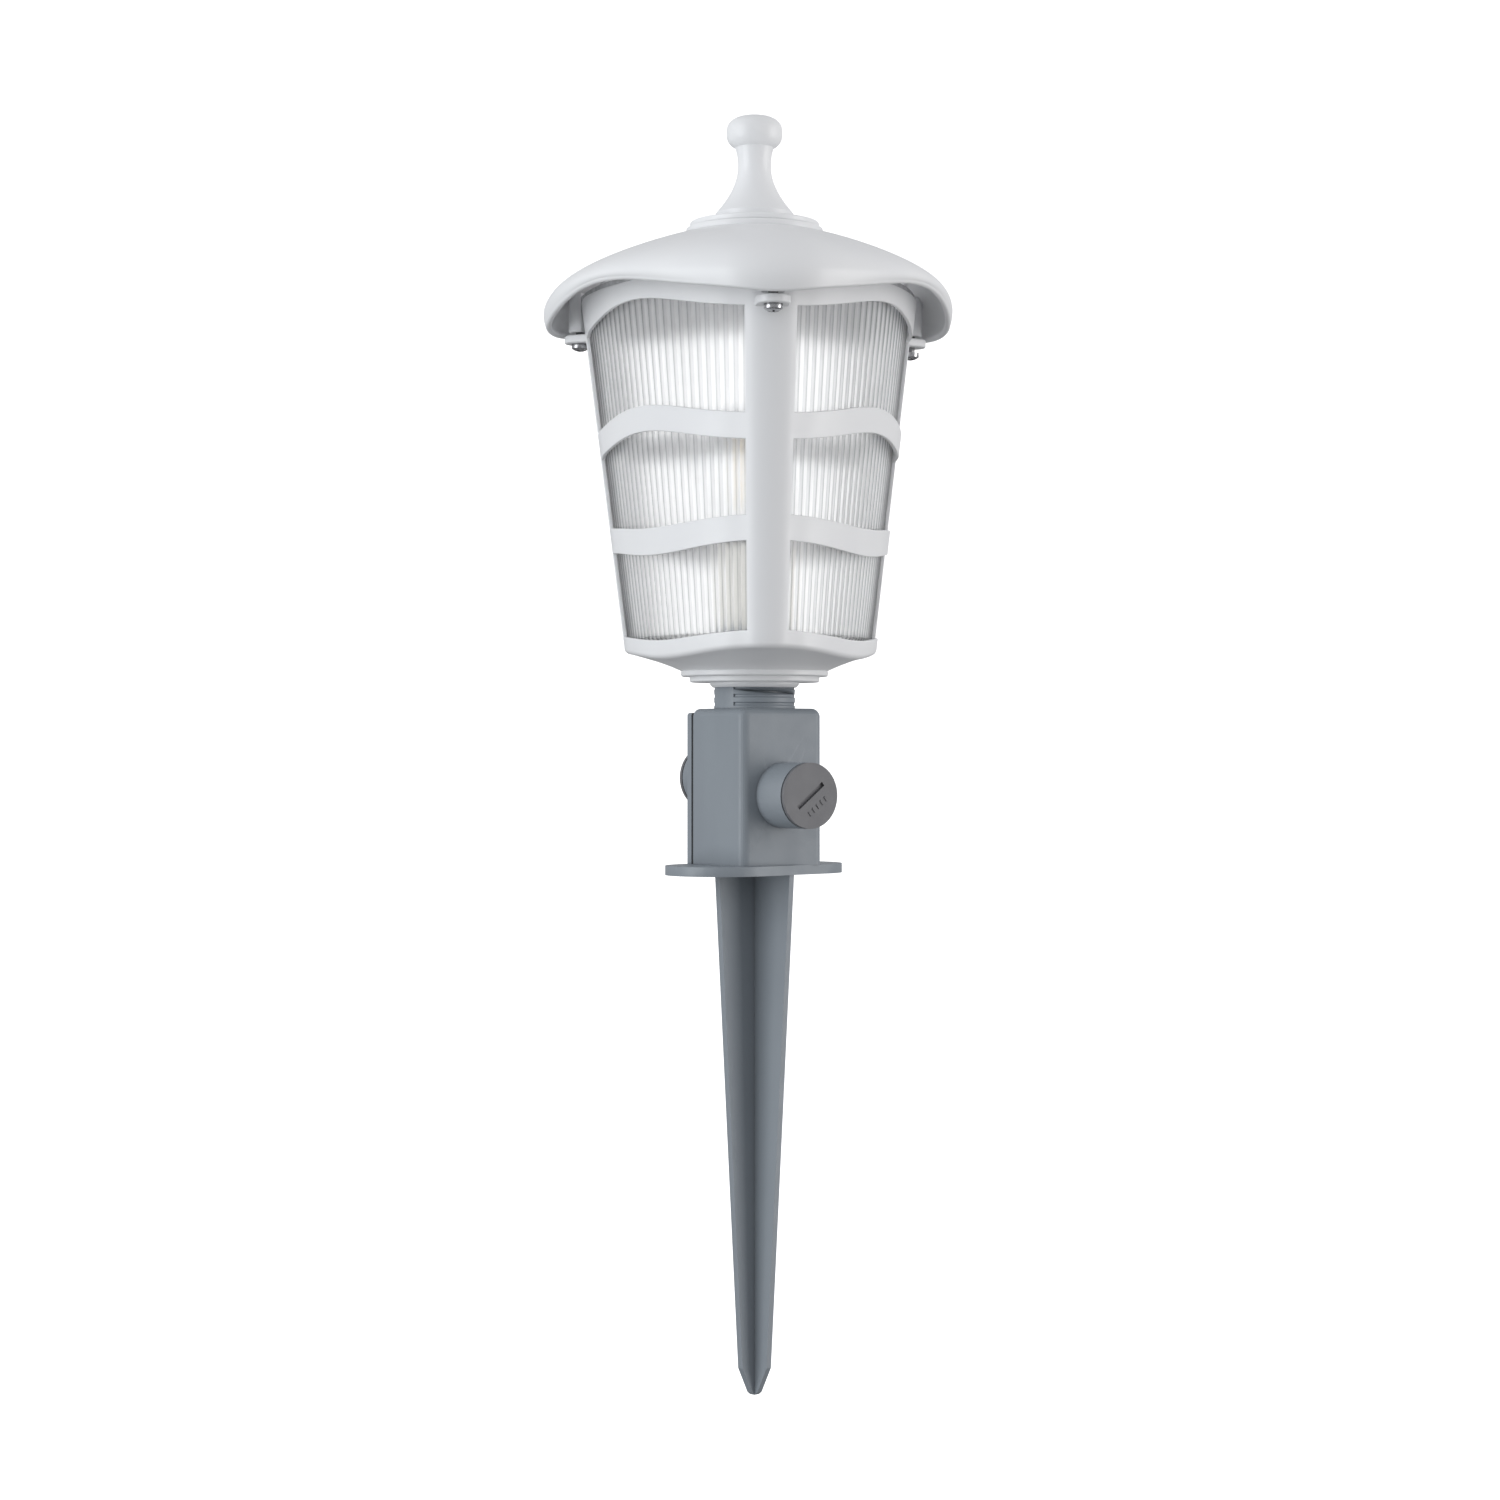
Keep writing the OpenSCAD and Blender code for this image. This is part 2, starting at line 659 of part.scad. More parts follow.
module tabs() {
    for (lobe = [0 : 2]) rotate(lobe * 120) difference() {
        translate([0, 0, tab_z[0]]) union() {
            linear_extrude(tab_z[1] - tab_z[0]) polygon([
                [67.45, -3], [66.6, -6], [roof_screw_circle, -6],
                [roof_screw_circle, 6], [66.6, 6], [67.45, 3]
            ]);
            intersection() {
                translate([roof_screw_circle, 0, 0]) cylinder(r = 6, h = tab_z[1] - tab_z[0]);
                translate([roof_screw_circle - 1, -10, -1]) cube([20, 20, 10]);
            }
        }
        translate([roof_screw_circle, 0, tab_z[0] - 1]) cylinder(r = 2, h = 6);
    }
}

module lantern_frame() {
    color(lantern_white) union() {
        one_shell() lattice();
        collar();
        tabs();
    }
}

module lens() {
    gap = 0.1;
    outer = -frame_wall - gap;
    inner = outer - lens_wall;
    color("#e8eef2", 0.5) difference() {
        one_shell() difference() {
            loft([head_ring(lens_floor, 0, outer - 2), head_ring(lens_floor + 2, 0, outer),
                head_ring(head_top, 0, outer)]);
            loft([head_ring(lens_floor + lens_wall, 0, inner - 1),
                head_ring(lens_floor + lens_wall + 1, 0, inner), head_ring(head_top + 1, 0, inner)]);
        }
        translate([0, 0, lens_floor - 1]) cylinder(r = seal_groove_r + 0.7, h = 6);
    }
}

module roof_gasket() {
    color(rubber_black) one_shell() difference() {
        loft([head_ring(head_top, 0, -0.2), head_ring(head_top + gasket_t, 0, -0.2)]);
        loft([head_ring(head_top - 1, 0, -5), head_ring(head_top + gasket_t + 1, 0, -5)]);
    }
}

// Droop of the roof round its rim, 1 and a little more at the corners
function droop(a) = cos(3 * a) + 0.36 * pow(max(0, cos(3 * a)), 6);

// One outline of the roof at parameter t of its dome curve, from the rim to the top ring
function dome_ring(curve, t, drop = 0, grow = 0) = let (
    p = bezier(curve, t),
    rounding = pow(t, 7),
    wave = -roof_droop * pow(1 - t, 3)
) [for (a = plan_angles) polar(
    (1 - rounding) * lobe_r(a, 1, roof_overhang) * (p[0] + grow) / roof_half + rounding * (p[0] + grow),
    a, p[1] + wave * droop(a) - drop)];

// Dome shell in one sweep: down its inner surface, round the rim, up its outer surface, and on
// to the top of the low ring that carries the finial's foot
module roof_shell() {
    loft(concat(
        [for (i = [8 : -1 : 0]) dome_ring(dome_in, i / 8)],
        [dome_ring(dome, 0, 1.3, 0.9 - roof_t), dome_ring(dome, 0, 1.3, -0.9), dome_ring(dome, 0, 0.7, -0.2)],
        [for (i = [0 : 12]) dome_ring(dome, i / 12)],
        [round_ring(finial_z, ring_r)]
    ));
}

// Pads under the roof that press the gasket onto the lens and the frame
module roof_pads() {
    for (a = [30 : 60 : 330])
        translate(polar(lobe_r(a, plan_scale(head_top), -2.6), a, head_top + gasket_t))
            cylinder(r = 1.4, h = 9, $fn = 24);
}

// Screw bosses, flat on the side that passes the head's corner
module roof_bosses() {
    for (lobe = [0 : 2]) rotate(lobe * 120) translate([roof_screw_circle, 0, boss_bottom])
        intersection() {
            cylinder(r = 4.4, h = 15.4, $fn = 24);
            translate([-2.3, -5, -1]) cube([10, 10, 20]);
        }
}

module roof() {
    color(lantern_white) difference() {
        one_shell() {
            roof_shell();
            roof_pads();
            roof_bosses();
        }
        translate([0, 0, 230]) cylinder(r = 4.15, h = 20);
        for (lobe = [0 : 2]) rotate(lobe * 120)
            translate([roof_screw_circle, 0, boss_bottom - 1]) cylinder(r = 1.77, h = 10);
    }
}

// The screw on +X is backed off a little
module roof_screws() {
    slack = [1.9, 0, 0];
    color(zinc) for (lobe = [0 : 2]) rotate(lobe * 120)
        translate([roof_screw_circle, 0, tab_z[0] - slack[lobe]]) rotate([180, 0, 0])
            pan_screw(3.35, 2.9, 1.75, 12);
}

// Half outline of the flattened ball: a superellipse about its centre
function ball(u) = [10.4 * pow(cos(u), 0.77), 273.8 + 6.5 * sign(sin(u)) * pow(abs(sin(u)), 0.77)];

module finial() {
    flare = [[14.4, 244], [11.4, 247.6], [6, 254], [6.15, 261.8]];
    throat = [[6.15, 261.8], [6.15, 264.5], [6.5, 266.5], [7.2, 268.4]];
    color(lantern_white) union() {
        rotate_extrude() polygon(concat(
            [[0, finial_z], [23.4, finial_z], [23.4, finial_z + 0.4], [23.9, finial_z + 0.6],
                [23.9, 240], [23.3, 240.6], [14.4, 240.6]],
            [for (t = [0 : 0.125 : 1]) bezier(flare, t)],
            [for (t = [0.25 : 0.25 : 1]) bezier(throat, t)],
            [for (u = [-48 : 8 : 88]) ball(u)],
            [[0, 280.3]]
        ));
        translate([0, 0, 226]) cylinder(r = 4, h = finial_z - 226 + eps);
    }
}

module finial_nut() {
    color(lantern_white) translate([0, 0, 228.7]) difference() {
        union() {
            cylinder(r = 7.5, h = 5, $fn = 6);
            translate([0, 0, 4.9]) cylinder(r = 8.5, h = 1.1);
        }
        translate([0, 0, -1]) cylinder(r = 4.06, h = 10);
    }
}

ground_spike();
spike_screw();
front_shell();
rear_cover();
cover_seal();
cover_screws();
front_plug();
front_plug_seal();
rear_plug();
rear_plug_seal();
terminal_block();
terminal_barrels();
terminal_screws();
block_screws();
cord_grip();
grip_screws();
live_wire();
neutral_wire();
holder_base();
holder_screws();
holder_body();
holder_thread();
centre_contact();
holder_seal();
bulb_cap();
bulb_contact();
bulb_globe();
bulb_stem();
bulb_filaments();
neck_seal();
lantern_frame();
lens();
roof_gasket();
roof();
roof_screws();
finial();
finial_nut();
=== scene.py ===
"""Garden spike lantern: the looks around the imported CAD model.

Lengths are in millimetres in the helper functions and become metres in mesh_piece(). The origin
is the centre of the ground flange's underside, +Z is up and one rib of the head lies on +X.
"""
import math

import bmesh
import bpy
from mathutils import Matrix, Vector


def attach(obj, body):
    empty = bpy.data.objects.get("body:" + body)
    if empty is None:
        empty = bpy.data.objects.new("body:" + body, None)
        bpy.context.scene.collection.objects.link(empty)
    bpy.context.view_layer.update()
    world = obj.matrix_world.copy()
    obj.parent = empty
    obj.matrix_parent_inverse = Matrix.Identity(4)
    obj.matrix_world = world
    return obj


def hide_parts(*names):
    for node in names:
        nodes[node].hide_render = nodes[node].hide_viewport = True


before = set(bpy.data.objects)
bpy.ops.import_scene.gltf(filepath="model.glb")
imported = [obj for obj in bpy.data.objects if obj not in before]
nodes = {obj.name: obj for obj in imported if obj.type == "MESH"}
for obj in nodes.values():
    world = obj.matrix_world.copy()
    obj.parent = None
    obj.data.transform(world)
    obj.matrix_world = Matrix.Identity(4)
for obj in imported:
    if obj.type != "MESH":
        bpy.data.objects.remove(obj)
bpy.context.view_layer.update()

MM = 0.001

# Plan of the head: three bowed faces with rounded corners, at the plan height, tapering downwards
BOW_R = 119.5
BOW_OFFSET = 67.7
CORNER_R = 15.5
PLAN_Z = 193
TAPER = 0.00202

# Lantern frame, from its collar and socket to its screw tabs
FRAME_WALL = 1.5
RIB_HALF_ANGLE = 8.2
BAND_BULGE = 0.9
HEAD_TOP = 214.5
SOCKET_R = 15.06
SOCKET_LIP_Z = 68.8
SOCKET_TOP = 86.0
COLLAR_R = 26.7
COLLAR_TOP = 74.6
SCREW_CIRCLE = 73
TAB_BOTTOM = 200.0
TAB_TOP = 202.9
TAB_HALF = 6.0
TAB_HOLE_R = 2.0
# Wavy edges of the windows, bottom edge first: height and rise at the ribs
WINDOWS = [
    ((86.8, 1.3), (117.8, 1.7)),
    ((127.3, 1.3), (157.4, -3.0)),
    ((166.7, -3.0), (203.9, -3.6)),
]

LENS_WALL = 2.2
LENS_GAP = 0.1
LENS_FLOOR = 84.5
LENS_HOLE_R = 18

# Roof: side profiles of the dome's outer and inner surfaces as cubic curves of half-width and height
ROOF_OVERHANG = 16.6
ROOF_T = 2.4
ROOF_DROOP = 4.2
ROOF_HALF = BOW_R - BOW_OFFSET * math.cos(math.radians(25)) + ROOF_OVERHANG
DOME = [(74.34, 209.8), (78.04, 217), (65.9, 226.9), (25.3, 236.2)]
DOME_IN = [(71.94, 210.3), (75.34, 215.5), (64.8, 224.6), (22, 234.7)]
ROOF_RING_R = 25.3
STUD_HOLE_R = 4.15
GASKET_T = 2
PAD_R = 1.4
PAD_H = 9
BOSS_BOTTOM = 204.2
BOSS_TOP = 219.0
BOSS_R = 4.4
BOSS_PILOT_R = 1.77

# Finial: the height of its foot and its flattened ball
FINIAL_Z = 238.3
BALL_R = 10.4
BALL_HALF_H = 6.5
BALL_Z = 273.8
LOBES = [0, 120, 240]

# Cable entry plugs: the turn of both slots, then each face's place along Y and the height of its axis
SLOT_TURN = 38
FRONT_PLUG = (-35.3, 29.2)
REAR_PLUG = (32.0, 35.3)

# Camera in metres: its direction, and its place before, beside and above the origin
CAMERA_FACING = Vector((0.5736, 0.8192, 0))
CAMERA_SIDE = Vector((0.8192, -0.5736, 0))
CAMERA_AWAY = 1.110
CAMERA_SHIFT = -0.00167
CAMERA_HEIGHT = 0.0457

PLASTIC_IOR = 1.49


# ---- geometry helpers ----

def cosd(angle):
    return math.cos(math.radians(angle))


def sind(angle):
    return math.sin(math.radians(angle))


def spread(start, end, steps, power=1.0):
    """steps + 1 values from start to end, crowded towards start where power is above 1."""
    return [start + (end - start) * (i / steps) ** power for i in range(steps + 1)]


def circle(steps):
    """Angles once round in even steps."""
    return [360 * s / steps for s in range(steps)]


def polar(radius, angle, z):
    return (radius * cosd(angle), radius * sind(angle), z)


def plan_scale(z):
    return 1 - TAPER * (PLAN_Z - z)


def lobe_radius(angle, scale, offset):
    """Polar radius of the rounded three-lobed outline, scaled and then grown by offset."""
    from_rib = abs((angle + 420) % 120 - 60)
    corner = CORNER_R * scale + offset
    bow = BOW_R * scale + offset
    shift = BOW_OFFSET * scale
    centre = math.sqrt((bow - corner) ** 2 - 0.75 * shift ** 2) - shift / 2
    tangent = math.atan2(shift * sind(60), centre + shift / 2)
    split = math.atan2(corner * math.sin(tangent), centre + corner * math.cos(tangent))
    if math.radians(from_rib) < split:
        return centre * cosd(from_rib) + math.sqrt(corner ** 2 - (centre * sind(from_rib)) ** 2)
    return math.sqrt(bow ** 2 - (shift * sind(60 - from_rib)) ** 2) - shift * cosd(60 - from_rib)


def head_point(angle, z, wave, offset):
    """Point of the head's outline whose height rises by wave at the ribs."""
    height = z + wave * cosd(3 * angle)
    return polar(lobe_radius(angle, plan_scale(height), offset), angle, height)


def bezier(points, t):
    """Point of the cubic curve at t."""
    weights = [(1 - t) ** 3, 3 * t * (1 - t) ** 2, 3 * t * t * (1 - t), t ** 3]
    return tuple(sum(w * p[i] for w, p in zip(weights, points)) for i in range(len(points[0])))


def rows_to_faces(rows, columns, closed_rows=False):
    """Quads between neighbouring rows of points that each go once round."""
    faces = []
    for i in range(rows if closed_rows else rows - 1):
        for j in range(columns):
            a, b = i * columns + j, i * columns + (j + 1) % columns
            c, d = ((i + 1) % rows) * columns + j, ((i + 1) % rows) * columns + (j + 1) % columns
            faces.append((a, b, d, c))
    return faces


def shade(mesh, sharp_angle):
    """Smooth shading with sharp edges above the angle."""
    mesh.polygons.foreach_set("use_smooth", [True] * len(mesh.polygons))
    mesh.set_sharp_from_angle(angle=math.radians(sharp_angle))


def mesh_piece(name, parts, material, body, replaces=(), sharp_angle=32):
    """One object made of several closed shells, each a list of points and a list of faces."""
    points, faces = [], []
    for part_points, part_faces in parts:
        start = len(points)
        points += [(x * MM, y * MM, z * MM) for x, y, z in part_points]
        faces += [tuple(start + i for i in face) for face in part_faces]
    mesh = bpy.data.meshes.new(name)
    mesh.from_pydata(points, [], faces)
    mesh.validate()
    work = bmesh.new()
    work.from_mesh(mesh)
    bmesh.ops.recalc_face_normals(work, faces=work.faces)
    work.to_mesh(mesh)
    work.free()
    shade(mesh, sharp_angle)
    piece = bpy.data.objects.new(name, mesh)
    bpy.context.scene.collection.objects.link(piece)
    mesh.materials.append(material)
    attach(piece, body)
    if replaces:
        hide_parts(*replaces)
    return piece


def loop_shell(rows):
    """Closed shell whose rows go round and whose last row joins the first."""
    columns = len(rows[0])
    return [p for row in rows for p in row], rows_to_faces(len(rows), columns, True)


def revolve(profile, segments=96):
    """Shell of a half outline of (radius, height) points turned about Z; its ends lie on the axis."""
    rings = [(r, z) for r, z in profile if r > 0.001]
    points = [polar(r, a, z) for r, z in rings for a in circle(segments)]
    faces = rows_to_faces(len(rings), segments)
    for row, end in ((0, profile[0]), (len(rings) - 1, profile[-1])):
        if end[0] <= 0.001:
            centre = len(points)
            points.append((0, 0, end[1]))
            ring = [row * segments + s for s in range(segments)]
            faces += [(ring[s], ring[(s + 1) % segments], centre) for s in range(segments)]
    return points, faces


def moved(part, offset, turn=0):
    """A shell turned about Z and then shifted."""
    points, faces = part
    c, s = cosd(turn), sind(turn)
    x0, y0, z0 = offset
    turned = [(x * c - y * s + x0, x * s + y * c + y0, z + z0) for x, y, z in points]
    return turned, faces


def rounded(corner, before, after, radius, steps=4):
    """Points of a small arc-like curve that rounds one corner of a half outline."""
    to_before = Vector(before) - Vector(corner)
    to_after = Vector(after) - Vector(corner)
    start = Vector(corner) + to_before.normalized() * min(radius, to_before.length / 2)
    end = Vector(corner) + to_after.normalized() * min(radius, to_after.length / 2)
    out = []
    for t in spread(0, 1, steps):
        p = start * (1 - t) ** 2 + Vector(corner) * 2 * t * (1 - t) + end * t * t
        out.append(tuple(p))
    return out


def round_profile(profile, radius, skip=()):
    """Half outline with its inner corners rounded, apart from those whose index is in skip."""
    out = [profile[0]]
    for i in range(1, len(profile) - 1):
        if i in skip:
            out.append(profile[i])
        else:
            out += rounded(profile[i], profile[i - 1], profile[i + 1], radius)
    out.append(profile[-1])
    return out


# ---- materials ----

def new_material(name):
    material = bpy.data.materials.new(name)
    material.use_nodes = True
    tree = material.node_tree
    return material, tree, tree.nodes["Principled BSDF"]


def noise(tree, scale, detail=3.0, stretch=(1, 1, 1)):
    """Noise in the object's own coordinates, scale in features per metre."""
    coords = tree.nodes.new("ShaderNodeTexCoord")
    mapping = tree.nodes.new("ShaderNodeMapping")
    texture = tree.nodes.new("ShaderNodeTexNoise")
    mapping.inputs["Scale"].default_value = stretch
    texture.inputs["Scale"].default_value = scale
    texture.inputs["Detail"].default_value = detail
    tree.links.new(coords.outputs["Object"], mapping.inputs["Vector"])
    tree.links.new(mapping.outputs["Vector"], texture.inputs["Vector"])
    return texture.outputs["Fac"]


def value_range(tree, value, low, high, start=0.3, end=0.7):
    """Maps a value from start..end to low..high."""
    mapper = tree.nodes.new("ShaderNodeMapRange")
    tree.links.new(value, mapper.inputs["Value"])
    for socket, number in (("From Min", start), ("From Max", end), ("To Min", low), ("To Max", high)):
        mapper.inputs[socket].default_value = number
    return mapper.outputs["Result"]


def mixed(tree, value, first, second):
    """Goes from the first colour to the second as value goes from 0 to 1; a colour may be a socket."""
    mix = tree.nodes.new("ShaderNodeMix")
    mix.data_type = "RGBA"
    tree.links.new(value, mix.inputs["Factor"])
    for name, colour in (("A", first), ("B", second)):
        if isinstance(colour, tuple):
            mix.inputs[name].default_value = (*colour, 1)
        else:
            tree.links.new(colour, mix.inputs[name])
    return mix.outputs["Result"]


def scaled(tree, colour, factor):
    """Colour multiplied by a value."""
    mix = tree.nodes.new("ShaderNodeVectorMath")
    mix.operation = "SCALE"
    tree.links.new(colour, mix.inputs[0])
    tree.links.new(factor, mix.inputs["Scale"])
    return mix.outputs["Vector"]


def add_bump(tree, shader, height, distance, strength=1.0, normal=None):
    """Bump from a height value, on top of another bump's normal if one is given."""
    bump = tree.nodes.new("ShaderNodeBump")
    bump.inputs["Strength"].default_value = strength
    bump.inputs["Distance"].default_value = distance
    tree.links.new(height, bump.inputs["Height"])
    if normal is not None:
        tree.links.new(normal, bump.inputs["Normal"])
    tree.links.new(bump.outputs["Normal"], shader.inputs["Normal"])
    return bump.outputs["Normal"]


def crevice(tree, distance):
    """1 on open surfaces, lower in corners and gaps narrower than distance: the mask of painted crevice
    shade.
    """
    occlusion = tree.nodes.new("ShaderNodeAmbientOcclusion")
    occlusion.samples = 4
    occlusion.inputs["Distance"].default_value = distance
    return occlusion.outputs["AO"]


def painted_shade(tree, colour, open_share, floor):
    """Painted shade: colour multiplied down to floor where open_share is 0."""
    return scaled(tree, colour, value_range(tree, open_share, floor, 1.0, 0.0, 0.8))


def moulded_plastic(name, light, dark, roughness, grain_depth=0.00002, flow=(1, 1, 0.25),
                    crevice_shade_floor=0.6):
    """Moulded plastic: slow flow tint between two colours, fine grain, painted shade darkening its
    crevices.
    """
    material, tree, shader = new_material(name)
    tint = value_range(tree, noise(tree, 38, 4, flow), 0, 1)
    colour = mixed(tree, tint, light, dark)
    # painted shade: the colour is darkened in crevices and gaps where shade falls
    if crevice_shade_floor < 1:
        colour = painted_shade(tree, colour, crevice(tree, 0.0015), crevice_shade_floor)
    tree.links.new(colour, shader.inputs["Base Color"])
    gloss = value_range(tree, noise(tree, 160, 3), roughness - 0.05, roughness + 0.07)
    tree.links.new(gloss, shader.inputs["Roughness"])
    shader.inputs["IOR"].default_value = PLASTIC_IOR
    coarse = add_bump(tree, shader, noise(tree, 260, 2), grain_depth * 6, 0.25)
    add_bump(tree, shader, noise(tree, 2600, 2), grain_depth, 0.6, coarse)
    return material


def metal(name, colour, dark, roughness, brushed=(1, 1, 1)):
    """Plated metal: patchy tint and roughness with fine scratches, and painted shade almost black in
    its crevices.
    """
    material, tree, shader = new_material(name)
    tint = value_range(tree, noise(tree, 420, 4), 0, 1)
    # painted shade: the plating colour is darkened almost to black in crevices and gaps
    plated_and_shaded = painted_shade(tree, mixed(tree, tint, colour, dark), crevice(tree, 0.0025), 0.05)
    tree.links.new(plated_and_shaded, shader.inputs["Base Color"])
    shader.inputs["Metallic"].default_value = 1.0
    gloss = value_range(tree, noise(tree, 900, 3, brushed), roughness - 0.06, roughness + 0.1)
    tree.links.new(gloss, shader.inputs["Roughness"])
    add_bump(tree, shader, noise(tree, 2200, 2, brushed), 0.00002, 0.4)
    return material


def rubber(name, colour, roughness, pore_scale):
    """Matt rubber or foam with fine pores."""
    material, tree, shader = new_material(name)
    tint = value_range(tree, noise(tree, 300, 3), 0, 1)
    paler = tuple(c * 1.5 for c in colour)
    tree.links.new(mixed(tree, tint, colour, paler), shader.inputs["Base Color"])
    gloss = value_range(tree, noise(tree, 700, 2), roughness - 0.08, roughness)
    tree.links.new(gloss, shader.inputs["Roughness"])
    add_bump(tree, shader, noise(tree, pore_scale, 3), 0.00008, 0.6)
    return material


def glass(name, colour, roughness, ior):
    """Clear moulded glass or plastic, faintly uneven."""
    material, tree, shader = new_material(name)
    tint = value_range(tree, noise(tree, 60, 2), 0, 1)
    cooler = (colour[0] * 0.985, colour[1] * 0.995, colour[2])
    tree.links.new(mixed(tree, tint, colour, cooler), shader.inputs["Base Color"])
    shader.inputs["Transmission Weight"].default_value = 1.0
    shader.inputs["IOR"].default_value = ior
    gloss = value_range(tree, noise(tree, 220, 2), roughness, roughness + 0.02)
    tree.links.new(gloss, shader.inputs["Roughness"])
    add_bump(tree, shader, noise(tree, 140, 2), 0.00003, 0.3)
    return material


def lens_plastic():
    """Clear lens plastic with painted shade: the raised flutes are tinted greyer than the lands between
    them, and both darken towards grazing views.
    """
    material, tree, shader = new_material("lens_plastic")
    flute = tree.nodes.new("ShaderNodeAttribute")
    flute.attribute_name = "flute"
    raised = value_range(tree, flute.outputs["Fac"], 0.0, 1.0, 0.3, 0.7)
    # painted shade: Facing darkens the colour towards grazing views, where the lens turns away
    facing = tree.nodes.new("ShaderNodeLayerWeight")
    facing.inputs["Blend"].default_value = 0.5
    edge = value_range(tree, facing.outputs["Facing"], 0.0, 1.0, 0.2, 0.8)
    land = mixed(tree, edge, (1.0, 1.0, 1.0), (0.84, 0.845, 0.85))
    # painted shade: the raised flutes are tinted grey, near black towards grazing views, in place of
    # the light they bend and scatter
    rib = mixed(tree, edge, (0.78, 0.785, 0.795), (0.2, 0.205, 0.21))
    painted_shade_bars = mixed(tree, raised, land, rib)
    tint = value_range(tree, noise(tree, 60, 2), 0.96, 1.0)
    tree.links.new(scaled(tree, painted_shade_bars, tint), shader.inputs["Base Color"])
    shader.inputs["Transmission Weight"].default_value = 0.86
    shader.inputs["IOR"].default_value = 1.14
    shader.inputs["Coat Weight"].default_value = 0.3
    shader.inputs["Coat IOR"].default_value = PLASTIC_IOR
    shader.inputs["Coat Roughness"].default_value = 0.05
    gloss = value_range(tree, raised, 0.3, 0.45, 0.0, 1.0)
    tree.links.new(gloss, shader.inputs["Roughness"])
    return material


def filament_glow():
    """Yellow phosphor coat with a slightly uneven tint."""
    material, tree, shader = new_material("filament")
    tint = value_range(tree, noise(tree, 900, 2), 0, 1)
    phosphor = mixed(tree, tint, (0.9, 0.62, 0.12), (0.82, 0.5, 0.08))
    tree.links.new(phosphor, shader.inputs["Base Color"])
    shader.inputs["Roughness"].default_value = 0.55
    add_bump(tree, shader, noise(tree, 1600, 2), 0.00004, 0.5)
    return material


def make_materials():
    """Every material by its name; both plugs share one, and all clear parts have their own."""
    return {
        "grey_plastic": moulded_plastic(
            "grey_plastic", (0.255, 0.285, 0.315), (0.225, 0.25, 0.28), 0.42),
        "plug_plastic": moulded_plastic(
            "plug_plastic", (0.165, 0.165, 0.175), (0.14, 0.14, 0.15), 0.48),
        # white plastic, its painted crevice shade going down to 0.75
        "white_plastic": moulded_plastic(
            "white_plastic", (0.86, 0.865, 0.875), (0.835, 0.84, 0.855), 0.34,
            0.000012, (1, 1, 0.4), 0.75),
        "clear_lens": lens_plastic(),
        "rubber": rubber("rubber", (0.018, 0.018, 0.02), 0.7, 2400),
        "foam_rubber": rubber("foam_rubber", (0.42, 0.42, 0.43), 0.85, 1500),
        "zinc": metal("zinc", (0.62, 0.62, 0.63), (0.42, 0.42, 0.44), 0.2),
        "nickel": metal("nickel", (0.66, 0.64, 0.6), (0.55, 0.53, 0.5), 0.24, (1, 1, 8)),
        "brass": metal("brass", (0.78, 0.57, 0.25), (0.66, 0.46, 0.18), 0.28, (1, 1, 6)),
        "insulator": moulded_plastic(
            "insulator", (0.74, 0.72, 0.66), (0.70, 0.68, 0.61), 0.5),
        "brown_insulation": moulded_plastic(
            "brown_insulation", (0.14, 0.06, 0.03), (0.11, 0.045, 0.02), 0.45),
        "blue_insulation": moulded_plastic(
            "blue_insulation", (0.03, 0.12, 0.45), (0.02, 0.09, 0.36), 0.45),
        "black_glass": glass("black_glass", (0.02, 0.02, 0.02), 0.1, 1.5),
        "lamp_glass": glass("lamp_glass", (0.99, 0.99, 0.99), 0.0, 1.2),
        "filament": filament_glow(),
    }


# ---- lantern head ----

def lattice_columns():
    """Angles round the head with exact columns at the edges of each rib."""
    angles = []
    for lobe in LOBES:
        angles += [lobe + a for a in spread(-RIB_HALF_ANGLE, RIB_HALF_ANGLE, 14)[:-1]]
        angles += [lobe + a for a in spread(RIB_HALF_ANGLE, 120 - RIB_HALF_ANGLE, 48)[:-1]]
    return angles


def lattice_rows():
    """Rows from the collar up: height, rise at the ribs and offset from the plan."""
    rows = [(80.1 + 2.1 * (1 - cosd(s)), 1.5, -2.4 * (1 - sind(s))) for s in spread(0, 90, 6)]
    for bottom, top in WINDOWS:
        for t in spread(0, 1, 4):
            rows.append((bottom[0] + (top[0] - bottom[0]) * t, bottom[1] + (top[1] - bottom[1]) * t, 0))
    rows.append((HEAD_TOP, 0, 0))
    return rows


def is_window(row, next_row, angle, next_angle):
    """Whether the patch between two rows and two angles lies in a window."""
    middle = ((angle + next_angle) / 2 + 420) % 120 - 60
    height = (row[0] + next_row[0]) / 2
    inside = any(bottom[0] < height < top[0] for bottom, top in WINDOWS)
    return inside and abs(middle) > RIB_HALF_ANGLE


def band_bulge(angle):
    """How far the bands stand proud between the ribs."""
    from_rib = abs((angle + 420) % 120 - 60)
    t = min(1.0, max(0.0, (from_rib - RIB_HALF_ANGLE) / 10))
    return BAND_BULGE * t * t * (3 - 2 * t)


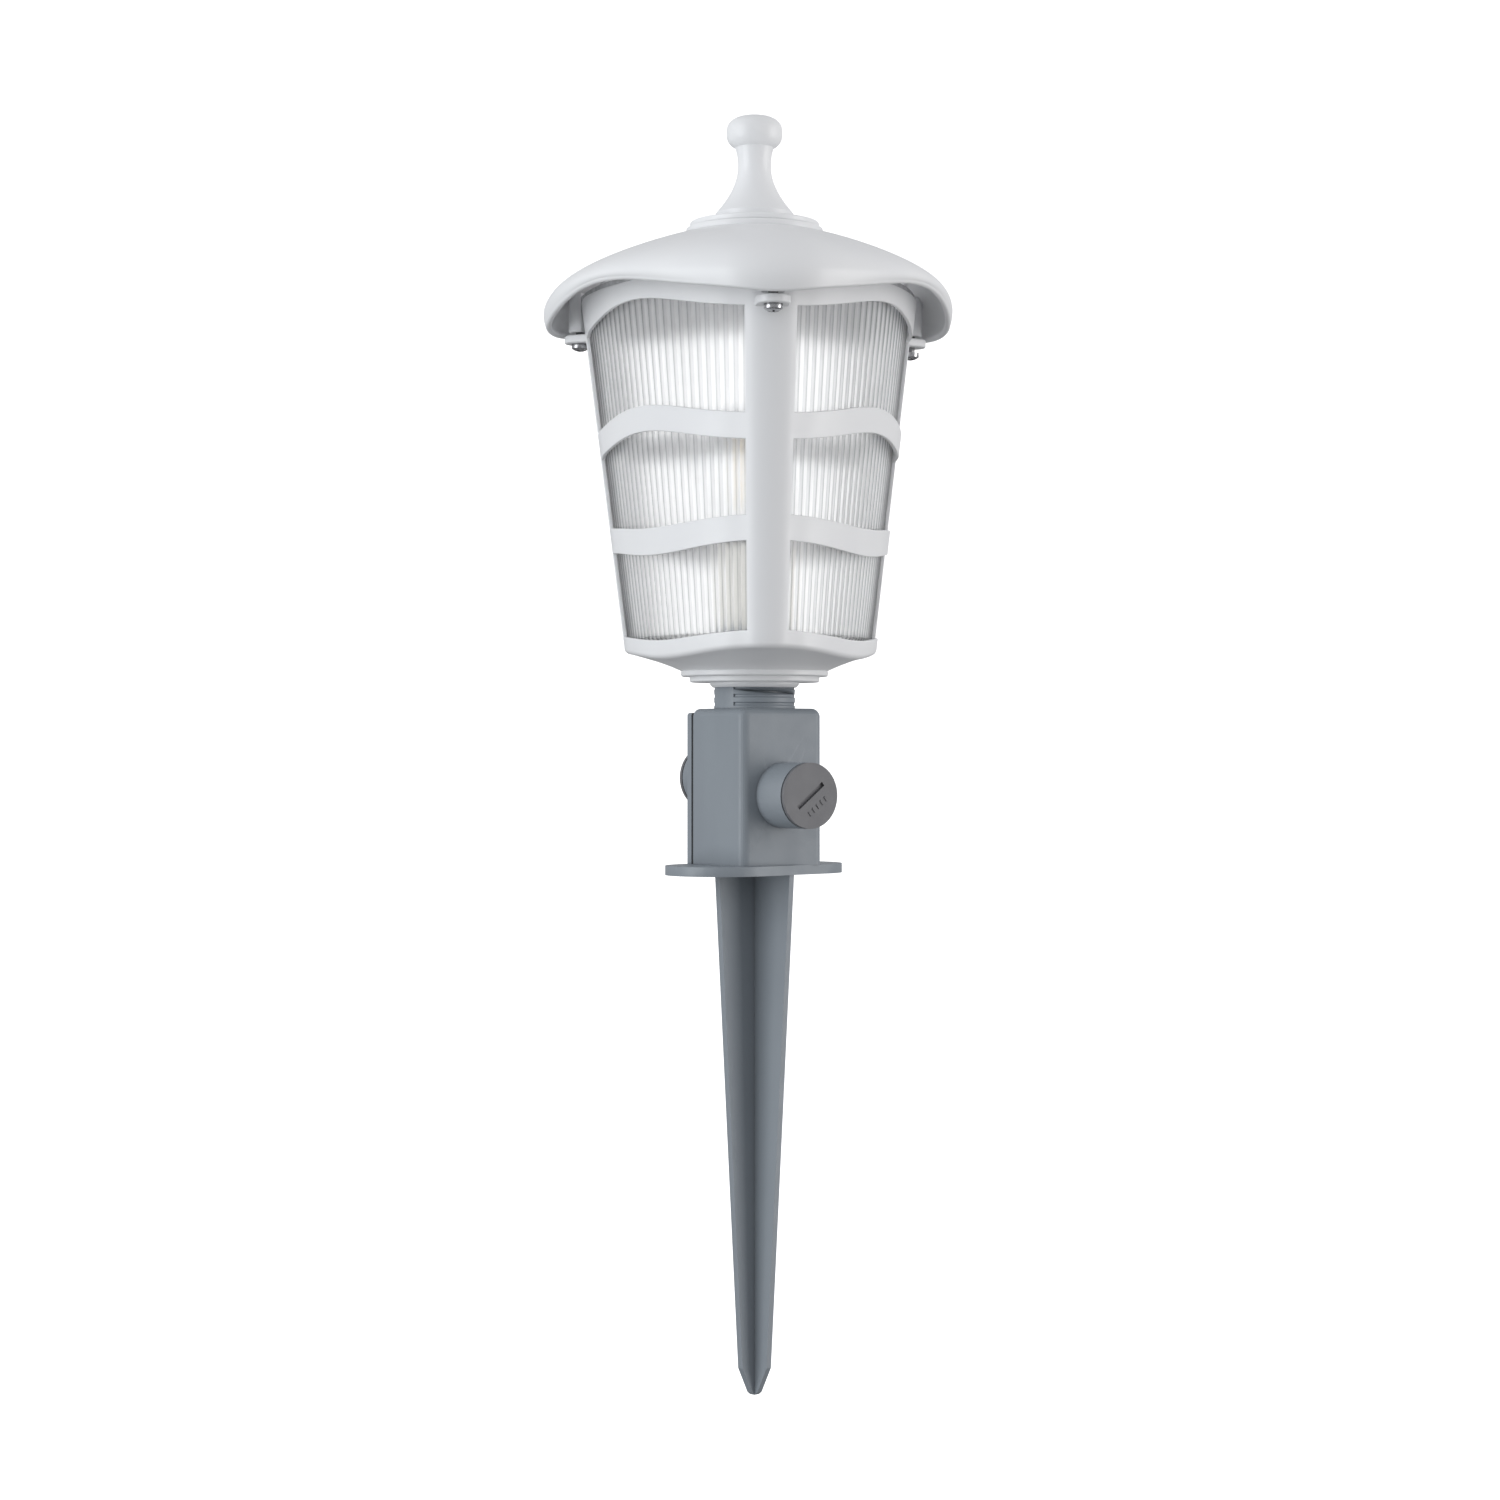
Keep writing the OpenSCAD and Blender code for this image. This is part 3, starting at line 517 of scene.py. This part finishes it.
def lattice_surface():
    """Outer surface of the lattice and its underside, with the windows left out."""
    angles = lattice_columns()
    count = len(angles)
    rows = lattice_rows()
    cone = spread(0, 1, 6)[:-1]
    points = []
    for t in cone:
        weights = ((1 - t) ** 2, 2 * t * (1 - t), t * t)
        for a in angles:
            curve = (polar(COLLAR_R, a, COLLAR_TOP), polar(COLLAR_R + 3.5, a, COLLAR_TOP + 2),
                     head_point(a, *rows[0]))
            points.append(tuple(sum(w * p[i] for w, p in zip(weights, curve)) for i in range(3)))
    for height, wave, offset in rows:
        points += [head_point(a, height, wave, offset + band_bulge(a)) for a in angles]
    faces = []
    for face in rows_to_faces(len(cone) + len(rows), count):
        row, column = face[0] // count - len(cone), face[0] % count
        after = angles[column + 1] if column + 1 < count else angles[0] + 360
        above = row + 1
        if row >= 0 and above < len(rows) and is_window(rows[row], rows[above], angles[column], after):
            continue
        faces.append(face)
    return points, faces


def collar():
    """Socket, two steps and the lens seat, turned about the axis."""
    lip, lower_r, upper_r, seat_r, seat = SOCKET_R + 1.4, 24, 27.2, 20.8, LENS_HOLE_R - 0.1
    outline = [
        (SOCKET_R, SOCKET_LIP_Z), (SOCKET_R + 0.4, SOCKET_LIP_Z), (lip, SOCKET_LIP_Z + 1),
        (lip, 70.7), (lower_r - 0.4, 70.7), (lower_r, 71.1), (lower_r, 72.8),
        (upper_r - 0.4, 72.8), (upper_r, 73.2), (upper_r, COLLAR_TOP), (25.6, 77.6),
        (seat_r, 78.4), (seat_r, LENS_FLOOR), (seat, LENS_FLOOR), (seat, SOCKET_TOP),
        (SOCKET_R, SOCKET_TOP),
    ]
    closed = round_profile(outline, 0.35)
    rows = [[polar(r, a, z) for a in circle(96)] for r, z in closed]
    return loop_shell(rows)


def tab_edge(angle):
    """Distance from the screw's axis to the edge of a tab, which is round outside and square inside."""
    if cosd(angle) >= 0:
        return TAB_HALF
    across = TAB_HALF / max(abs(sind(angle)), 1e-6)
    along = 7.4 / abs(cosd(angle))
    return min(across, along)


def tab():
    """Screw tab of the frame on +X, with its hole."""
    edge = 0.35
    levels = ((edge, TAB_BOTTOM), (0, TAB_BOTTOM + edge), (0, TAB_TOP - edge), (edge, TAB_TOP))
    rows = [[(tab_edge(a) - inset, a, z) for a in circle(64)] for inset, z in levels]
    rows += [[(TAB_HOLE_R, a, z) for a in circle(64)] for z in (TAB_TOP, TAB_BOTTOM)]
    return loop_shell([[(SCREW_CIRCLE + r * cosd(a), r * sind(a), z) for r, a, z in row]
                       for row in rows])


def lantern_frame(material):
    """Lattice as a surface thickened inwards, then the collar and the tabs as closed shells."""
    lattice = mesh_piece("lantern_lattice", [lattice_surface()], material, "head",
                         ["lantern_frame"], 60)
    shell = lattice.modifiers.new("wall", "SOLIDIFY")
    shell.thickness = FRAME_WALL * MM
    shell.offset = -1
    shell.use_even_offset = True
    edge = lattice.modifiers.new("edges", "BEVEL")
    edge.width = 0.4 * MM
    edge.segments = 3
    edge.limit_method = "ANGLE"
    edge.angle_limit = math.radians(50)
    edge.harden_normals = True
    tabs = [moved(tab(), (0, 0, 0), lobe) for lobe in LOBES]
    mesh_piece("lantern_collar", [collar()] + tabs, material, "head")


def even_angles(count):
    """Angles round the plan that are evenly spaced along its outline."""
    fine = [360 * s / 2880 for s in range(2881)]
    points = [Vector(polar(lobe_radius(a, 1, 0), a, 0)) for a in fine]
    lengths = [0.0]
    for p, q in zip(points, points[1:]):
        lengths.append(lengths[-1] + (q - p).length)
    out, i = [], 0
    for k in range(count):
        target = lengths[-1] * k / count
        while lengths[i + 1] < target:
            i += 1
        share = (target - lengths[i]) / (lengths[i + 1] - lengths[i])
        out.append(fine[i] + (fine[i + 1] - fine[i]) * share)
    return out


def flute_profile(steps):
    """One flute as (share of the pitch, rise): a flat land, then a half-round rib."""
    land = 0.42
    rib = [(land + (1 - land) * t, math.sin(math.pi * t) ** 0.6) for t in spread(0, 1, steps)]
    return [(0.0, 0.0)] + rib[:-1]


def lens(material):
    """Tapered cup with upright flutes outside, whose faces know how raised they are."""
    flutes, rise = 90, 0.4
    profile = flute_profile(8)
    shares = [(k + share) / flutes for k in range(flutes) for share, _ in profile]
    heights = [height for _ in range(flutes) for _, height in profile]
    table = even_angles(flutes * 40)
    angles = []
    for share in shares:
        place = share * len(table)
        low = int(place) % len(table)
        high = table[low + 1] if low + 1 < len(table) else 360.0
        angles.append(table[low] + (high - table[low]) * (place - int(place)))
    outer = -FRAME_WALL - LENS_GAP
    inner = outer - LENS_WALL
    top, floor = HEAD_TOP - 0.05, LENS_FLOOR
    rows = [[polar(LENS_HOLE_R, a, floor) for a in angles]]
    rows.append([head_point(a, floor, 0, outer - 2) for a in angles])
    for z in spread(floor + 2, top, 6):
        rows.append([head_point(a, z, 0, outer - rise * (1 - h)) for a, h in zip(angles, heights)])
    for z in spread(top, floor + LENS_WALL + 1, 6):
        rows.append([head_point(a, z, 0, inner) for a in angles])
    rows.append([head_point(a, floor + LENS_WALL, 0, inner - 1) for a in angles])
    rows.append([polar(LENS_HOLE_R, a, floor + LENS_WALL) for a in angles])
    piece = mesh_piece("fluted_lens", [loop_shell(rows)], material, "head", ["lens"], 40)
    layer = piece.data.attributes.new("flute", "FLOAT", "POINT")
    columns = len(angles)
    outer_rows = range(2, 9)
    values = [min(1.0, heights[i % columns] * 1.6) if i // columns in outer_rows else 0.0
              for i in range(len(piece.data.vertices))]
    layer.data.foreach_set("value", values)


# ---- roof ----

def roof_columns():
    """Angles round the roof, closer together at the three corners."""
    angles = []
    for lobe in LOBES:
        angles += [lobe + a for a in spread(-12, 12, 24)[:-1]]
        angles += [lobe + a for a in spread(12, 108, 40)[:-1]]
    return angles


def sink_mark(x, y):
    """Shallow dents in the roof over its three screw bosses."""
    from_axis, deepest, spot = SCREW_CIRCLE + 4.2, 0.28, 2.6
    depth = 0.0
    for lobe in LOBES:
        away = math.hypot(x - from_axis * cosd(lobe), y - from_axis * sind(lobe))
        depth += deepest * math.exp(-(away / spot) ** 2)
    return depth


def droop(angle):
    """Droop of the roof round its rim, 1 and a little more at the corners."""
    corner = cosd(3 * angle)
    return corner + 0.36 * max(0.0, corner) ** 6


def dome_row(curve, t, angles, drop=0.0, grow=0.0, marks=False):
    """One outline of the roof at t of its curve, lobed at the rim and round at the top."""
    half, height = bezier(curve, t)
    rounding = t ** 7
    wave = -ROOF_DROOP * (1 - t) ** 3
    row = []
    for a in angles:
        lobed = lobe_radius(a, 1, ROOF_OVERHANG) * (half + grow) / ROOF_HALF
        radius = (1 - rounding) * lobed + rounding * (half + grow)
        x, y, z = polar(radius, a, height + wave * droop(a) - drop)
        row.append((x, y, z - (sink_mark(x, y) if marks else 0)))
    return row


def roof_shell():
    """Roof from its top down over the outer surface, round the rim and up the inner surface."""
    angles = roof_columns()
    rim = ROOF_T / 2
    rows = [dome_row(DOME, t, angles, marks=True) for t in reversed(spread(0, 1, 34, 1.5))]
    for s in spread(0, 180, 10)[1:-1]:
        rows.append(dome_row(DOME, 0, angles, rim * sind(s), -rim + rim * cosd(s)))
    rows += [dome_row(DOME_IN, t, angles) for t in spread(0, 1, 20, 1.3)]
    rows += [[polar(STUD_HOLE_R, a, z) for a in angles] for z in (DOME_IN[3][1], FINIAL_Z)]
    for inset, drop in ((0.4, 0), (0.1, 0.1), (0, 0.3)):
        rows.append([polar(ROOF_RING_R - inset, a, FINIAL_Z - drop) for a in angles])
    return loop_shell(rows)


def boss(x):
    """Hollow screw boss under the roof, flat on the side that passes the head's corner."""
    edge, flat = 0.3, -2.3
    rings = [
        (BOSS_R - edge, BOSS_BOTTOM), (BOSS_R, BOSS_BOTTOM + edge), (BOSS_R, BOSS_TOP),
        (BOSS_PILOT_R, BOSS_TOP), (BOSS_PILOT_R, BOSS_BOTTOM + edge), (2.1, BOSS_BOTTOM),
    ]
    return loop_shell([[(x + max(r * cosd(a), flat), r * sind(a), z) for a in circle(48)]
                       for r, z in rings])


def roof_pad(angle):
    """Pad that presses the gasket down, standing inside the roof."""
    x, y, _ = head_point(angle, HEAD_TOP, 0, -2.6)
    bottom = HEAD_TOP + GASKET_T
    top = bottom + PAD_H
    profile = [(0, bottom), (PAD_R, bottom), (PAD_R, top), (0, top)]
    return moved(revolve(profile, 24), (x, y, 0))


def roof(material):
    bosses = [moved(boss(SCREW_CIRCLE), (0, 0, 0), lobe) for lobe in LOBES]
    pads = [roof_pad(a) for a in range(30, 360, 60)]
    mesh_piece("roof_dome", [roof_shell()] + bosses + pads, material, "head",
               ["roof"], 38)


def ball(u):
    """Flattened ball: a superellipse about its centre."""
    s, power = sind(u), 0.77
    return (BALL_R * cosd(u) ** power, BALL_Z + BALL_HALF_H * math.copysign(abs(s) ** power, s))


def finial(material):
    """Stepped foot, flared neck and ball, with the stud that goes through the roof."""
    foot_r, foot_top, step_r, step_top, waist_r = 23.9, 240.6, 14.4, 244.0, 6.15
    foot = round_profile([(0, FINIAL_Z), (foot_r, FINIAL_Z), (foot_r, foot_top), (step_r, foot_top),
                          (step_r, step_top)], 0.6)
    flare = [(step_r, step_top), (11.4, 247.6), (6.0, 254), (waist_r, 261.8)]
    throat = [(waist_r, 261.8), (waist_r, 264.5), (6.5, 266.5), (7.2, 268.4)]
    profile = foot + [bezier(flare, t) for t in spread(0, 1, 24)[1:]]
    profile += [bezier(throat, t) for t in spread(0, 1, 8)[1:]]
    profile += [ball(u) for u in spread(-48, 89, 48)] + [(0, BALL_Z + BALL_HALF_H)]
    stud = revolve([(0, 226), (3.7, 226), (4, 226.4), (4, FINIAL_Z + 0.3), (0, FINIAL_Z + 0.3)], 48)
    mesh_piece("finial_turned", [revolve(profile, 128), stud], material, "head",
               ["finial"], 38)


# ---- cable entry plugs ----

def tick(across, along, half_length, half_width, height):
    """Small raised bar with sloping sides, in the plane of a plug's face."""
    points = []
    corners = ((-1, -1), (1, -1), (1, 1), (-1, 1))
    for inset, level in ((0, -0.05), (0, height * 0.5), (0.12, height)):
        x, y = half_length - inset, half_width - inset
        points += [(across + sx * x, along + sy * y, level) for sx, sy in corners]
    faces = [(3, 2, 1, 0), (8, 9, 10, 11)]
    for i in (0, 4):
        faces += [(i + j, i + (j + 1) % 4, i + 4 + (j + 1) % 4, i + 4 + j) for j in range(4)]
    return points, faces


def plug_ticks(name, material, body, place, facing):
    """Row of five raised ticks beside a plug's slot."""
    face_y, height = place
    pitch, from_slot = 2.2, -4.9
    parts = []
    for k in range(5):
        points, faces = tick((k - 2) * pitch, from_slot, 0.3, 0.95, 0.35)
        placed = []
        for u, v, w in points:
            across = u * cosd(SLOT_TURN) - v * sind(SLOT_TURN)
            up = u * sind(SLOT_TURN) + v * cosd(SLOT_TURN)
            placed.append((-facing * across, face_y + facing * w, height + up))
        parts.append((placed, faces))
    mesh_piece(name, parts, material, body)


# ---- carried-over CAD nodes ----

CAD_LOOKS = {
    "grey_plastic": ["ground_spike", "front_shell", "rear_cover", "cord_grip"],
    "plug_plastic": ["front_plug", "rear_plug"],
    "white_plastic": ["finial_nut"],
    "rubber": ["cover_seal", "front_plug_seal", "rear_plug_seal", "neck_seal", "holder_seal"],
    "foam_rubber": ["roof_gasket"],
    "zinc": ["spike_screw", "cover_screws", "terminal_screws", "block_screws", "grip_screws",
             "holder_screws", "roof_screws"],
    "nickel": ["bulb_cap"],
    "brass": ["terminal_barrels", "holder_thread", "centre_contact"],
    "insulator": ["terminal_block", "holder_base", "holder_body"],
    "brown_insulation": ["live_wire"],
    "blue_insulation": ["neutral_wire"],
    "black_glass": ["bulb_contact"],
    "lamp_glass": ["bulb_globe", "bulb_stem"],
    "filament": ["bulb_filaments"],
}
# Width in mm of the softened edges on the carried-over nodes that show
SOFT_EDGES = {
    "ground_spike": 0.45, "front_shell": 0.3, "rear_cover": 0.3, "front_plug": 0.35, "rear_plug": 0.35,
    "roof_screws": 0.12, "cover_screws": 0.12,
}


def soften(node, width):
    """Joins the mesh's loose faces and rounds its sharp edges by modifiers."""
    weld = node.modifiers.new("weld", "WELD")
    weld.merge_threshold = 0.002 * MM
    edge = node.modifiers.new("edges", "BEVEL")
    edge.width = width * MM
    edge.segments = 3
    edge.limit_method = "ANGLE"
    edge.angle_limit = math.radians(35)
    edge.harden_normals = True


def dress_cad_nodes(materials):
    """Gives every CAD node that stays its material, and the visible ones soft edges."""
    for slot, names in CAD_LOOKS.items():
        for name in names:
            node = nodes[name]
            node.data.materials.clear()
            node.data.materials.append(materials[slot])
    for name, width in SOFT_EDGES.items():
        soften(nodes[name], width)


# ---- studio ----

def camera():
    """Level view from the front left, a little over a metre away."""
    data = bpy.data.cameras.new("camera")
    data.lens = 72
    data.sensor_width = 36
    view = bpy.data.objects.new("camera", data)
    view.location = -CAMERA_AWAY * CAMERA_FACING + CAMERA_SHIFT * CAMERA_SIDE
    view.location.z = CAMERA_HEIGHT
    view.rotation_euler = CAMERA_FACING.to_track_quat("-Z", "Y").to_euler()
    bpy.context.scene.collection.objects.link(view)
    bpy.context.scene.camera = view


def softbox(name, right, away, height, size, power, colour):
    """Large soft light placed against the camera's view and aimed at the box and the head."""
    place = right * CAMERA_SIDE + away * CAMERA_FACING + Vector((0, 0, height))
    aim = Vector((0, 0, 0.12))
    data = bpy.data.lights.new(name, "AREA")
    data.shape = "RECTANGLE"
    data.size, data.size_y = size
    data.energy = power
    data.color = colour
    light = bpy.data.objects.new(name, data)
    light.location = place
    light.rotation_euler = (aim - place).to_track_quat("-Z", "Y").to_euler()
    bpy.context.scene.collection.objects.link(light)


def world_light():
    """Even studio light that fades below the horizon."""
    world = bpy.data.worlds.new("studio")
    bpy.context.scene.world = world
    world.use_nodes = True
    tree = world.node_tree
    background = tree.nodes["Background"]
    coords = tree.nodes.new("ShaderNodeTexCoord")
    split = tree.nodes.new("ShaderNodeSeparateXYZ")
    tree.links.new(coords.outputs["Generated"], split.inputs["Vector"])
    level = value_range(tree, split.outputs["Z"], 0.22, 0.62, -0.5, 0.5)
    tree.links.new(level, background.inputs["Strength"])
    background.inputs["Color"].default_value = (0.97, 0.98, 1.0, 1)


def pale_floor():
    """Round pale floor that turns up into a wall far behind on every side."""
    level, flat, bend, wall_top = -1600, 2200, 1200, 4000
    profile = [(0, level), (flat, level)]
    profile += [(flat + bend * sind(s), level + bend * (1 - cosd(s))) for s in spread(0, 90, 12)[1:]]
    profile += [(flat + bend, wall_top)]
    points, faces = revolve(profile, 64)
    mesh = bpy.data.meshes.new("studio_floor")
    mesh.from_pydata([(x * MM, y * MM, z * MM) for x, y, z in points], [], faces)
    shade(mesh, 180)
    floor = bpy.data.objects.new("studio_floor", mesh)
    bpy.context.scene.collection.objects.link(floor)
    material, tree, shader = new_material("floor_paper")
    tint = value_range(tree, noise(tree, 3, 2), 0, 1)
    tree.links.new(mixed(tree, tint, (0.9, 0.9, 0.9), (0.88, 0.88, 0.88)), shader.inputs["Base Color"])
    shader.inputs["Roughness"].default_value = 0.9
    shader.inputs["Emission Color"].default_value = (1, 1, 1, 1)
    shader.inputs["Emission Strength"].default_value = 1.0
    mesh.materials.append(material)
    floor.visible_diffuse = False
    floor.visible_glossy = False
    floor.visible_shadow = False


def studio():
    camera()
    softbox("left_box", -1.14, -0.66, 0.17, (0.9, 1.4), 11.5, (0.95, 0.98, 1.0))
    softbox("right_box", 1.3, -0.2, 0.12, (0.7, 1.3), 9.2, (1.0, 0.99, 0.98))
    world_light()
    pale_floor()
    scene = bpy.context.scene
    scene.view_settings.view_transform = "Standard"
    scene.view_settings.look = "None"


materials = make_materials()
lantern_frame(materials["white_plastic"])
lens(materials["clear_lens"])
roof(materials["white_plastic"])
finial(materials["white_plastic"])
plug_ticks("front_plug_ticks", materials["plug_plastic"], "front_cap", FRONT_PLUG, -1)
plug_ticks("rear_plug_ticks", materials["plug_plastic"], "rear_cap", REAR_PLUG, 1)
dress_cad_nodes(materials)
studio()
